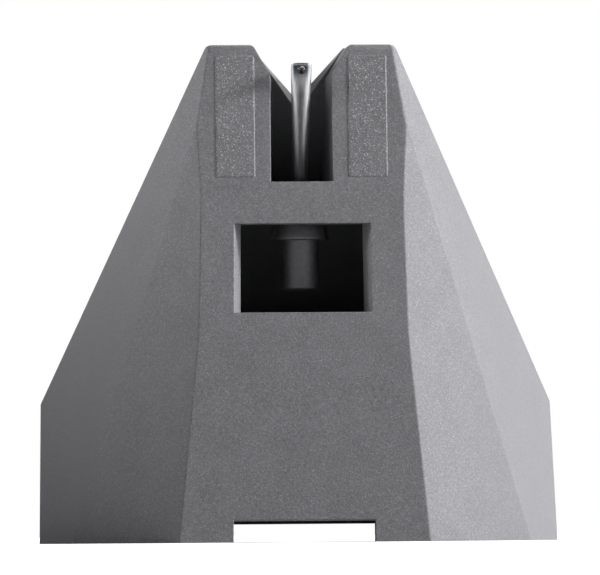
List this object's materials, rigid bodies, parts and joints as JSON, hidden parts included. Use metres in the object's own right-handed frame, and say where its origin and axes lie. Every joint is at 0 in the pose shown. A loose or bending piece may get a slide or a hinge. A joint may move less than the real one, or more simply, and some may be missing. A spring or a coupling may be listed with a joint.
{
  "type": "replacement stylus unit for a moving-magnet turntable cartridge",
  "caption": "Faceted hollow moulding with a slotted two-prong nose, a windowed suspension tube, and a sprung cantilever that carries a diamond stylus.",
  "frame": {"origin": "centre of the bounding box, on the plane of the open rear rim", "axes": "+X across the unit, +Y from the underside to the sloped front, +Z from the open rear rim to the nose"},
  "size_m": [0.018, 0.0112, 0.017],
  "materials": {
    "grey_moulding": "mid grey satin plastic with fine metallic flake",
    "dark_metal": "dark satin",
    "brass_plug": "plain turned",
    "steel_wire": "drawn wire",
    "black_elastomer": "matt",
    "bright_aluminium": "drawn and polished",
    "magnet_metal": "ground",
    "shank_metal": "ground",
    "diamond": "polished, translucent",
    "dark_adhesive": "glossy dark brown bead"
  },
  "bodies": {
    "housing": {"housing": "grey_moulding", "suspension_tube": "dark_metal", "wire_anchor": "brass_plug", "tie_wire": "steel_wire"},
    "damper": {"damper_ring": "black_elastomer"},
    "stylus": {"cantilever": "bright_aluminium", "magnet": "magnet_metal", "tip_shank": "shank_metal", "diamond_tip": "diamond", "tip_adhesive": "dark_adhesive"}
  },
  "joints": [
    {"name": "sideways_swing", "type": "hinge", "parent": "housing", "child": "damper", "pos_m": [0, -0.0031, 0.01135], "axis": [0, 0.9205, 0.3907], "range_deg": [-3, 3], "stiffness_Nm_per_rad": 0.0013, "deforming": ["damper_ring"]},
    {"name": "up_down_swing", "type": "hinge", "parent": "damper", "child": "stylus", "pos_m": [0, -0.0031, 0.01135], "axis": [1, 0, 0], "range_deg": [-4, 4], "stiffness_Nm_per_rad": 0.0013, "deforming": ["tie_wire"]}
  ]
}
